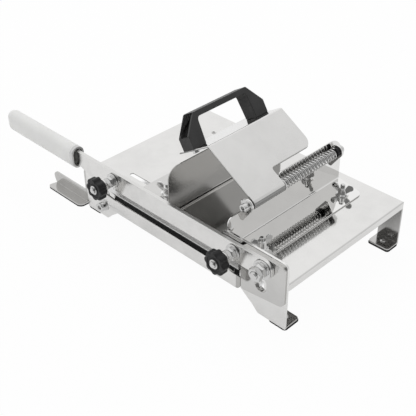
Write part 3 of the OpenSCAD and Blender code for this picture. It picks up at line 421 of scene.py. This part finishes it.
class Finishes:
    """The finishes of the slicer.

    Zones are painted shade and painted reflection: they darken what would mirror darker surroundings, or lies
    in shade in the gap below the blade.
    """

    warm, faint = (0.005, 0.015), (0.0, 0.005)
    # Painted shade colours: near-black for the shaded gap below the blade, a darker grey for faces that would
    # mirror darker parts, a dark grey for the carriage's shaded underside.
    painted_gap_shade, shaded, underside_painted_shade = grey(0.004), grey(0.46, warm), grey(0.30, faint)
    ridge_x, ridge_z, skin_mm, far_below = 16.0, 103.4, 1.0, -99.0
    roof_lean, leaf_lean = math.radians(31.1), math.radians(31.5)
    roof_out = (math.sin(roof_lean), 0.0, math.cos(roof_lean))
    leaf_out = (-math.sin(leaf_lean), 0.0, math.cos(leaf_lean))
    roof_low = roof_out[0] * ridge_x + roof_out[2] * ridge_z - skin_mm
    leaf_low = leaf_out[0] * ridge_x + leaf_out[2] * ridge_z - skin_mm

    # Painted shade: the front wall near-black in the shaded gap below the blade.
    wall_gap_painted_shade = Zone(((X_WAY, -128.0, 97.0), (Z_WAY, -27.0, -14.0)), painted_gap_shade, 0.5)
    # Painted shade: the tops of the wall's feet a darker grey, as shade near the floor.
    wall_feet_painted_shade = Zone(((Y_WAY, -42.6, 0.0), (Z_WAY, -70.0, -58.0)), grey(0.48, warm), 0.2)
    # Painted shade: the blade's lower edge near-black in the same gap.
    blade_gap_painted_shade = Zone(((Z_WAY, -20.0, -15.6),), painted_gap_shade, 0.5)
    lever_cut_edge = Zone(((Z_WAY, 24.6, 26.0),), grey(0.72, warm), 0.35)
    # Painted reflection: the stop plate's right end a darker grey, as it mirrors the black knob.
    stop_end_painted_reflection = Zone(((X_WAY, 102.6, 111.0),), shaded, 0.2)
    # Painted shade: the left guide's upright a darker grey, as it mirrors shaded parts.
    guide_upright_painted_shade = Zone(((Z_WAY, 4.0, 80.0),), shaded, 0.14)
    # Painted shade: the inside of the carriage sheet, below its outer skin, a dark grey.
    carriage_inside_painted_shade = Zone(((roof_out, far_below, roof_low), (leaf_out, far_below, leaf_low)), underside_painted_shade, 0.3)

    # The sheet-steel finishes are one steel in lighter and darker copies, grey 0.57 to 0.84 part by part:
    # painted light and shade.
    table = Steel("table_sheet_steel", Slot.SHEET, grey(0.775, warm), 0.07, Along.Y, 0.03, 0.002, 0.03)
    wall = Steel("front_wall_steel", Slot.SHEET, grey(0.84, warm), 0.16, Along.X, 0.07, 0.004, 0.04, 2.0,
                 (wall_gap_painted_shade, wall_feet_painted_shade))
    # Painted shade: the pivot plate a darker grey than the wall.
    plate = Steel("pivot_plate_painted_shade_steel", Slot.SHEET, grey(0.64, warm), 0.18, Along.X, 0.07, 0.004, 0.04, 2.5)
    # Painted shade: the rear legs and side bracket a darker grey.
    legs = Steel("leg_painted_shade_steel", Slot.SHEET, grey(0.57, warm), 0.14, Along.Z, 0.06, 0.004, 0.04, 4.0)
    # Painted shade: the left guide a darker grey than the right one.
    left_guide = Steel("left_guide_painted_shade_steel", Slot.SHEET, grey(0.66, warm), 0.10, Along.Y, 0.03, 0.002, 0.03, 6.0,
                       (guide_upright_painted_shade,))
    right_guide = Steel("right_guide_steel", Slot.SHEET, grey(0.84, warm), 0.03, Along.Y, 0.015, 0.0005, 0.02,
                        6.5)
    carriage = Steel("carriage_sheet_steel", Slot.SHEET, grey(0.78, warm), 0.14, Along.Y, 0.06, 0.004, 0.03,
                     8.0, (carriage_inside_painted_shade,))
    lever = Steel("lever_bar_steel", Slot.LEVER, grey(0.78, warm), 0.20, Along.X, 0.08, 0.006, 0.05, 1.0,
                  (lever_cut_edge,))
    stop = Steel("stop_plate_steel", Slot.LEVER, grey(0.78, warm), 0.18, Along.X, 0.08, 0.006, 0.05, 1.5,
                 (stop_end_painted_reflection,))
    blade = Steel("ground_blade_steel", Slot.BLADE, grey(0.80), 0.30, Along.Z, 0.06, 0.003, 0.03, 3.0,
                  (blade_gap_painted_shade,))
    # Painted shade: the rod a dark grey so the shade between the spring's curls shows.
    rod = Steel("feed_rod_painted_shade_steel", Slot.BRIGHT, grey(0.36, faint), 0.22, None, 0.05, 0.003, 0.05, 9.0)
    wing = Steel("wing_nut_steel", Slot.BRIGHT, grey(0.84, faint), 0.06, None, 0.04, 0.003, 0.05, 7.0)
    bright = Steel("plated_fastener_steel", Slot.BRIGHT, grey(0.66, faint), 0.07, None, 0.04, 0.003, 0.05)
    collar = Steel("collar_ring_steel", Slot.COLLAR, grey(0.62), 0.25, None, 0.05, 0.004, 0.05)
    spring = Steel("spring_wire_steel", Slot.SPRING, grey(0.86, faint), 0.14, None, 0.05, 0.003, 0.05, 5.0)
    white = Moulded("white_grip_plastic", Slot.WHITE, (0.80, 0.80, 0.79), (0.74, 0.74, 0.725), 0.36, 0.015,
                    1200.0, 0.08, 0.5, 0.1)
    black = Moulded("black_knob_plastic", Slot.BLACK, (0.010, 0.010, 0.0105), (0.022, 0.022, 0.023), 0.45,
                    0.03, 1500.0, 0.1, 0.3)
    handle = Moulded("black_handle_plastic", Slot.BLACK, grey(0.032), grey(0.050), 0.42, 0.03, 1500.0, 0.1, 0.3)
    rubber = Moulded("foot_rubber", Slot.RUBBER, grey(0.010), grey(0.022), 0.75, 0.05, 900.0, 0.1, 0.2)


class Edge(Enum):
    """How soft the edges of a carried-over CAD piece are, in mm."""

    SHEET = 0.25
    BAR = 0.4
    FASTENER = 0.3
    MOULDED = 0.9
    NONE = 0.0


def dress(node: str, finish: Finish, edge: Edge = Edge.SHEET) -> None:
    """Gives a CAD node its material and softens its edges.

    Args:
        node: name of the CAD node.
        finish: its finish.
        edge: how soft its edges are.
    """
    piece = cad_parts[node]
    piece.data.materials.clear()
    piece.data.materials.append(finish.material())
    weld = piece.modifiers.new("joined_points", "WELD")
    weld.merge_threshold = WELD_GAP * MM
    flat = piece.modifiers.new("whole_faces", "DECIMATE")
    flat.decimate_type = "DISSOLVE"
    flat.angle_limit = math.radians(FLAT_DEGREES)
    if edge is not Edge.NONE:
        bevel = piece.modifiers.new("soft_edges", "BEVEL")
        bevel.width = edge.value * MM
        bevel.segments = 2
        bevel.limit_method = "ANGLE"
        bevel.angle_limit = math.radians(SOFT_DEGREES)
        bevel.use_clamp_overlap = False
        bevel.harden_normals = True
    log.info("%s dressed in %s", node, finish.name)


def piece_from(name: str, points: list[Vector], faces: list[tuple[int, ...]], finish: Finish, body: str,
               replaced: tuple[str, ...], sharp: float = 40.0) -> bpy.types.Object:
    """Makes a piece of the object from points and faces in the row frame.

    Args:
        name: name of the piece.
        points: its points, in metres.
        faces: indices of each face's points.
        finish: its finish.
        body: CAD body that it rides on.
        replaced: CAD nodes that it stands for.
        sharp: angle in degrees above which an edge stays sharp.

    Returns:
        The new object.
    """
    mesh = bpy.data.meshes.new(name)
    mesh.from_pydata([tuple(p) for p in points], [], faces)
    work = bmesh.new()
    work.from_mesh(mesh)
    bmesh.ops.remove_doubles(work, verts=work.verts, dist=MERGE_GAP * MM)
    bmesh.ops.recalc_face_normals(work, faces=work.faces)
    work.to_mesh(mesh)
    work.free()
    mesh.shade_smooth()
    mesh.set_sharp_from_angle(angle=math.radians(sharp))
    mesh.materials.append(finish.material())
    piece = bpy.data.objects.new(name, mesh)
    bpy.context.scene.collection.objects.link(piece)
    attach(piece, body)
    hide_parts(*replaced)
    log.info("%s built for %s", name, ", ".join(replaced))
    return piece


def rings(loops: list[list[Vector]], closed_ends: bool = True) -> tuple[list[Vector], list[tuple[int, ...]]]:
    """Skins a row of closed loops that have the same number of points.

    Args:
        loops: the loops, in order.
        closed_ends: whether the first and last loop are filled.

    Returns:
        The points and the faces.
    """
    count = len(loops[0])
    points = [p for loop in loops for p in loop]
    faces = [
        (i * count + k, i * count + (k + 1) % count, (i + 1) * count + (k + 1) % count, (i + 1) * count + k)
        for i in range(len(loops) - 1) for k in range(count)
    ]
    if closed_ends:
        faces.append(tuple(reversed(range(count))))
        faces.append(tuple((len(loops) - 1) * count + k for k in range(count)))
    return points, faces


def quarter(steps: int) -> list[float]:
    """Angles from 0 to a quarter turn, in radians.

    Args:
        steps: how many steps there are between them.

    Returns:
        The angles, one more than the steps.
    """
    return [0.5 * math.pi * i / steps for i in range(steps + 1)]


@dataclass(frozen=True)
class Lamp:
    """One soft square lamp."""

    name: str
    place: Colour
    size: float
    watts: float


@dataclass
class Studio:
    """Floor, light, backdrop and the camera of the photograph.

    Areas of the floor are (left, front, right, back) in mm; the rest is in metres or degrees.
    """

    camera_place: Colour = (0.69285, -0.6480, 0.6686)
    azimuth: float = 45.1
    elevation: float = 35.2
    roll: float = 0.55
    lens: float = 72.0
    sensor: float = 36.0
    near: float = 0.05
    far: float = 50.0
    lamps: tuple[Lamp, ...] = (
        Lamp("key_lamp", (-0.7, 0.5, 1.5), 1.3, 9.0),
        Lamp("front_lamp", (0.4, -1.5, 1.1), 1.1, 5.0),
    )
    lamp_aim: Colour = (0.0, 0.0, 0.05)
    floor_size: float = 14.0
    floor_drop: float = 0.05
    floor_grey: float = 0.86
    floor_white: float = 0.96
    floor_mirrored: float = 0.55
    footprint: Area = (-100.0, -100.0, 258.0, 136.0)
    shade_start: float = -60.0
    shade_end: float = 5.0
    # Painted shadow: the floor does not glow in this box, deep under the table.
    floor_shadow_area: Area = (-100.0, -72.0, 190.0, 136.0)
    floor_shadow_edge: float = 14.0
    sky_light: float = 0.62
    far_corner: float = 0.3
    corner_lean: float = 0.4
    corner_end: float = 0.9
    camera_side: float = 0.8
    side_lean: float = 0.7
    side_start: float = 0.2
    side_end: float = 0.65

    def build(self) -> None:
        """Makes all of it."""
        self._camera()
        self._floor()
        self._sky()
        for lamp in self.lamps:
            self._lamp(lamp)
        log.info("studio built")

    def _camera(self) -> None:
        """Camera at the place and angle from which the photograph was taken."""
        az, el, roll = (math.radians(v) for v in (self.azimuth, self.elevation, self.roll))
        ahead = Vector((-math.sin(az) * math.cos(el), math.cos(az) * math.cos(el), -math.sin(el)))
        right = Vector((math.cos(az), math.sin(az), 0.0))
        up = right.cross(ahead)
        side = math.cos(roll) * right - math.sin(roll) * up
        head = math.cos(roll) * up + math.sin(roll) * right
        data = bpy.data.cameras.new("photo_camera")
        data.lens, data.sensor_width = self.lens, self.sensor
        data.clip_start, data.clip_end = self.near, self.far
        eye = bpy.data.objects.new("photo_camera", data)
        rows = [(side[i], head[i], -ahead[i], self.camera_place[i]) for i in range(3)]
        eye.matrix_world = Matrix((*rows, (0.0, 0.0, 0.0, 1.0)))
        bpy.context.scene.collection.objects.link(eye)
        bpy.context.scene.camera = eye

    def _seen(self, shader: Shader, *kinds: str) -> Wire:
        """1 for rays of one of these kinds (Camera, Glossy or Transmission), else 0."""
        seen = shader.node("ShaderNodeLightPath", output=f"Is {kinds[0]} Ray")
        for kind in kinds[1:]:
            seen = seen.larger(shader.node("ShaderNodeLightPath", output=f"Is {kind} Ray"))
        return seen

    def _outside(self, shader: Shader, area: Area) -> Wire:
        """Distance outside an area of the floor.

        Args:
            shader: tree that it is worked out in.
            area: the area.

        Returns:
            The distance in metres, less than 0 inside the area.
        """
        x, y, _ = shader.axes(shader.place())
        left, front, right, back = area
        over_x = (x - (left + right) / 2 * MM).size() - (right - left) / 2 * MM
        over_y = (y - (front + back) / 2 * MM).size() - (back - front) / 2 * MM
        return over_x.larger(over_y)

    def _floor(self) -> None:
        """Plain pale floor that keeps the shadow.

        It is white to the eye except in a painted shadow area deep under the table, and half as bright in
        mirrors, where it glows only away from the machine.
        """
        half = self.floor_size / 2
        mesh = bpy.data.meshes.new("floor")
        mesh.from_pydata([(-half, -half, 0), (half, -half, 0), (half, half, 0), (-half, half, 0)], [],
                         [(0, 1, 2, 3)])
        floor = bpy.data.objects.new("floor", mesh)
        floor.location.z = -self.floor_drop * MM
        bpy.context.scene.collection.objects.link(floor)
        made = bpy.data.materials.new("pale_floor")
        made.use_nodes = True
        shader = Shader(made.node_tree)
        matt = shader.node("ShaderNodeBsdfDiffuse", inputs={"Color": (*grey(self.floor_grey), 1.0)})
        glow = shader.node("ShaderNodeEmission", inputs={"Color": (*grey(1.0), 1.0), "Strength": 1.0})
        # Painted shadow: the glow is withheld deep under the table, and in mirrors over the machine's
        # footprint, so only the floor's own shading shows there.
        outside_floor_shadow = self._outside(shader, self.floor_shadow_area).ramp(-self.floor_shadow_edge * MM, 0.0)
        uncovered = self._outside(shader, self.footprint).ramp(self.shade_start * MM, self.shade_end * MM)
        share = (self._seen(shader, "Camera") * self.floor_white * outside_floor_shadow).larger(
            self._seen(shader, "Glossy", "Transmission") * uncovered * self.floor_mirrored)
        shader.end(shader.node("ShaderNodeMixShader", inputs={0: share, 1: matt, 2: glow}))
        mesh.materials.append(made)

    def _sky(self) -> None:
        """White surroundings for the eye, plain soft light for the rest, darker sides in mirrors."""
        world = bpy.data.worlds.new("white_room")
        bpy.context.scene.world = world
        world.use_nodes = True
        shader = Shader(world.node_tree)
        seen = self._seen(shader, "Camera", "Glossy", "Transmission")
        mirrored = self._seen(shader, "Glossy")
        right, back, _ = shader.axes(shader.node("ShaderNodeTexCoord", output="Generated"))
        corner = (right + back * self.corner_lean).ramp(0.0, self.corner_end) * self.far_corner
        behind_eye = (right * self.side_lean - back * self.side_lean).ramp(self.side_start, self.side_end)
        darker = mirrored * corner.larger(behind_eye * self.camera_side)
        strength = (seen * (1.0 - self.sky_light) + self.sky_light) * (1.0 - darker)
        shader.end(shader.node("ShaderNodeBackground",
                               inputs={"Color": (*grey(1.0), 1.0), "Strength": strength}), "World")

    def _lamp(self, lamp: Lamp) -> None:
        """Hangs one lamp that points at the object."""
        data = bpy.data.lights.new(lamp.name, "AREA")
        data.energy, data.size = lamp.watts, lamp.size
        hung = bpy.data.objects.new(lamp.name, data)
        hung.location = lamp.place
        hung.visible_glossy = False
        way = Vector(self.lamp_aim) - Vector(lamp.place)
        hung.rotation_euler = way.to_track_quat("-Z", "Y").to_euler()
        bpy.context.scene.collection.objects.link(hung)


@dataclass
class Bench:
    """Table, front wall with its legs, rear legs, feet and side bracket."""

    def build(self) -> None:
        """Dresses the bench."""
        dress("table", Finishes.table)
        dress("front_wall", Finishes.wall)
        for node in ("rear_leg_right", "rear_leg_left", "side_bracket"):
            dress(node, Finishes.legs)
        dress("foot_pads", Finishes.rubber)
        dress("bracket_pad", Finishes.rubber)
        dress("foot_rivets", Finishes.bright, Edge.NONE)
        dress("bracket_screw", Finishes.bright, Edge.FASTENER)


@dataclass
class Pivot:
    """Pivot plate, bolt and nuts."""

    def build(self) -> None:
        """Dresses the pivot."""
        dress("pivot_plate", Finishes.plate)
        dress("pivot_bolt", Finishes.bright, Edge.FASTENER)
        dress("pivot_nuts", Finishes.bright, Edge.FASTENER)


@dataclass
class Lever:
    """Lever bar, blade, studs and grip."""

    grip_left: float = -348.5
    grip_right: float = -199.0
    grip_high: float = 31.5
    grip_thick: float = 20.0
    grip_y: float = -51.4
    grip_z: float = 14.1
    end_length: float = 11.0
    recess: float = 12.0
    wall: float = 2.6
    wall_inside: float = 2.9
    lip: float = 1.0
    lip_steps: int = 4
    tip: float = 0.4
    dome_steps: int = 12
    dome_power: float = 0.6
    straight: tuple[float, ...] = (0.3, 0.6, 0.9)
    sharp: float = 50.0
    around: int = 64

    def build(self) -> None:
        """Dresses the steel and builds the grip."""
        dress("lever_bar", Finishes.lever, Edge.BAR)
        dress("blade", Finishes.blade)
        dress("stop_studs", Finishes.bright, Edge.FASTENER)
        dress("grip_collar", Finishes.collar)
        self._grip()

    def _loop(self, x: float, inset: float) -> list[Vector]:
        """One loop round the grip, a flat oval.

        Args:
            x: its place along the grip.
            inset: how far it is drawn in.

        Returns:
            Its points.
        """
        radius = self.grip_thick / 2 - inset
        flat = (self.grip_high - self.grip_thick) / 2
        loop = []
        for k in range(self.around):
            turn = 2 * math.pi * k / self.around
            side = flat if math.sin(turn) >= 0 else -flat
            loop.append(spot(x, self.grip_y + radius * math.cos(turn),
                             self.grip_z + radius * math.sin(turn) + side))
        return loop

    def _grip(self) -> None:
        """Sleeve with a domed left end and an open, rounded mouth at its right end."""
        reach = self.grip_thick / 2 - self.tip
        dome_right = self.grip_left + self.end_length
        places = []
        for turn in quarter(self.dome_steps):
            places.append((self.grip_left + self.end_length * (1 - math.cos(turn)),
                           reach * (1 - math.sin(turn) ** self.dome_power)))
        places += [(dome_right + share * (self.grip_right - dome_right), 0.0) for share in self.straight]
        for turn in quarter(self.lip_steps):
            places.append((self.grip_right - self.lip * (1 - math.sin(turn)), self.lip * (1 - math.cos(turn))))
        places += [
            (self.grip_right, self.wall - self.tip),
            (self.grip_right - self.tip, self.wall),
            (self.grip_right - self.recess, self.wall_inside),
        ]
        points, faces = rings([self._loop(x, inset) for x, inset in places])
        piece_from("grip_sleeve", points, faces, Finishes.white, "lever", ("grip",), self.sharp)


@dataclass
class StopSet:
    """Stop plate, its adjusters and star knobs."""

    places: tuple[tuple[str, float], ...] = (("left", -118.8), ("right", 94.0))
    knob_z: float = 12.5
    front: float = -86.15
    thick: float = 11.5
    boss: float = 3.0
    boss_radius: float = 9.5
    boss_flare: float = 0.6
    flare_long: float = 0.5
    boss_round: float = 0.4
    radius: float = 15.5
    waist: float = 13.6
    lobe: float = 3.9
    lobes: int = 8
    soft: float = 0.8
    soft_share: float = 0.12
    fillet: float = 1.8
    fillet_steps: int = 6
    dish: float = 0.9
    dish_inner: float = 7.4
    dish_outer: float = 10.6
    dish_bank: float = 0.6
    bore: float = 6.0
    sharp: float = 45.0
    around: int = 192

    def build(self) -> None:
        """Dresses the plate and adjusters and builds the knobs."""
        dress("stop_plate", Finishes.stop)
        for side, x in self.places:
            dress(f"adjuster_{side}", Finishes.bright, Edge.FASTENER)
            self._knob(side, x)

    def _outline(self, turn: float) -> float:
        """Radius of the star outline, lobes melted into the waist.

        Args:
            turn: angle round the knob, in radians.

        Returns:
            The radius in mm.
        """
        step = 2 * math.pi / self.lobes
        off = (turn + step / 2) % step - step / 2
        middle = self.radius - self.lobe
        under = self.lobe ** 2 - (middle * math.sin(off)) ** 2
        lobe = middle * math.cos(off) + math.sqrt(under) if under > 0 else 0.0
        melted = 0.5 * (lobe + self.waist + math.sqrt((lobe - self.waist) ** 2 + self.soft ** 2))
        return min(melted - self.soft * self.soft_share, self.radius)

    def _ring(self, x: float, y: float, radius: float | None = None, inset: float = 0.0) -> list[Vector]:
        """One loop of the knob.

        Args:
            x: place of the knob.
            y: place of the loop along the knob's axis.
            radius: radius of a plain circle, or none for the star outline.
            inset: how far the star outline is drawn in.

        Returns:
            Its points.
        """
        loop = []
        for k in range(self.around):
            turn = 2 * math.pi * k / self.around
            reach = self._outline(turn) - inset if radius is None else radius
            loop.append(spot(x + reach * math.cos(turn), y, self.knob_z + reach * math.sin(turn)))
        return loop

    def _knob(self, side: str, x: float) -> None:
        """Star knob with rounded lobes, a shallow dish in front and a boss behind.

        Args:
            side: "left" or "right".
            x: place of its axis.
        """
        back = self.front + self.thick
        fillet = [(self.fillet * (1 - math.sin(a)), self.fillet * (1 - math.cos(a)))
                  for a in quarter(self.fillet_steps)]
        inner = [
            (back + self.boss, self.bore),
            (self.front, self.bore),
            (self.front, self.dish_inner),
            (self.front + self.dish, self.dish_inner + self.dish_bank),
            (self.front + self.dish, self.dish_outer - self.dish_bank),
            (self.front, self.dish_outer),
        ]
        behind = [
            (back, self.boss_radius + self.boss_flare),
            (back + self.flare_long, self.boss_radius),
            (back + self.boss - self.boss_round, self.boss_radius),
            (back + self.boss, self.boss_radius - self.boss_round),
        ]
        loops = [self._ring(x, y, radius) for y, radius in inner]
        loops += [self._ring(x, self.front + drop, inset=inset) for inset, drop in fillet]
        loops += [self._ring(x, back - drop, inset=inset) for inset, drop in reversed(fillet)]
        loops += [self._ring(x, y, radius) for y, radius in behind]
        points, faces = rings(loops + [loops[0]], False)
        piece_from(f"star_knob_{side}", points, faces, Finishes.black, f"{side}_adjuster", (f"knob_{side}",),
                   self.sharp)


@dataclass
class Guides:
    """Left and right guide with their clamp bolts and wing nuts."""

    def build(self) -> None:
        """Dresses the guides."""
        for side, finish in (("left", Finishes.left_guide), ("right", Finishes.right_guide)):
            dress(f"{side}_guide", finish)
            dress(f"{side}_clamp_bolts", Finishes.bright, Edge.FASTENER)
            for end in ("front", "back"):
                dress(f"{side}_{end}_wing_nut", Finishes.wing, Edge.FASTENER)


@dataclass
class FeedRail:
    """Rod, its screws and cap, the feed spring and its washer."""

    rod_x: float = 83.4
    rod_z: float = 53.8
    start: float = 41.3
    end: float = 141.25
    coil: float = 6.25
    wire: float = 0.75
    curls: int = 19
    rings_per_curl: int = 24
    wire_sides: int = 12
    sharp: float = 60.0

    def build(self) -> None:
        """Dresses the rail and winds the spring."""
        dress("rod", Finishes.rod, Edge.NONE)
        dress("rod_screws", Finishes.bright, Edge.FASTENER)
        dress("rod_cap", Finishes.black, Edge.FASTENER)
        dress("spring_washer", Finishes.bright, Edge.NONE)
        self._spring()

    def _middle(self, step: float) -> Vector:
        """Point of the wire's centreline, in the drawing frame."""
        turn = 2 * math.pi * step / self.rings_per_curl
        pitch = (self.end - self.start) / self.curls
        return Vector((self.rod_x + self.coil * math.sin(turn), self.start + pitch * step / self.rings_per_curl,
                       self.rod_z + self.coil * math.cos(turn)))

    def _spring(self) -> None:
        """One unbroken wire round the rod."""
        loops = []
        for step in range(self.curls * self.rings_per_curl + 1):
            turn = 2 * math.pi * step / self.rings_per_curl
            outward = Vector((math.sin(turn), 0.0, math.cos(turn)))
            ahead = (self._middle(step + 0.5) - self._middle(step - 0.5)).normalized()
            side = ahead.cross(outward).normalized()
            loops.append([
                spot(*(self._middle(step) + (outward * math.cos(a) + side * math.sin(a)) * self.wire))
                for a in (2 * math.pi * k / self.wire_sides for k in range(self.wire_sides))
            ])
        points, faces = rings(loops)
        wire = piece_from("spring_coil", points, faces, Finishes.spring, "right_fence", ("feed_spring",),
                          self.sharp)
        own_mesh(wire)


@dataclass
class Carriage:
    """Folded carriage sheet with its barrel, handle and screws."""

    def build(self) -> None:
        """Dresses the carriage."""
        dress("carriage", Finishes.carriage)
        dress("carriage_barrel", Finishes.bright, Edge.FASTENER)
        dress("carriage_handle", Finishes.handle, Edge.MOULDED)
        dress("handle_screws", Finishes.bright, Edge.FASTENER)


def main() -> None:
    """Builds the studio and every sub-assembly in order."""
    logging.basicConfig(level=logging.INFO, format="%(name)s: %(message)s")
    bpy.context.scene.view_settings.view_transform = "Standard"
    for part in (Studio(), Bench(), Pivot(), Lever(), StopSet(), Guides(), FeedRail(), Carriage()):
        part.build()


if __name__ == "__main__":
    main()
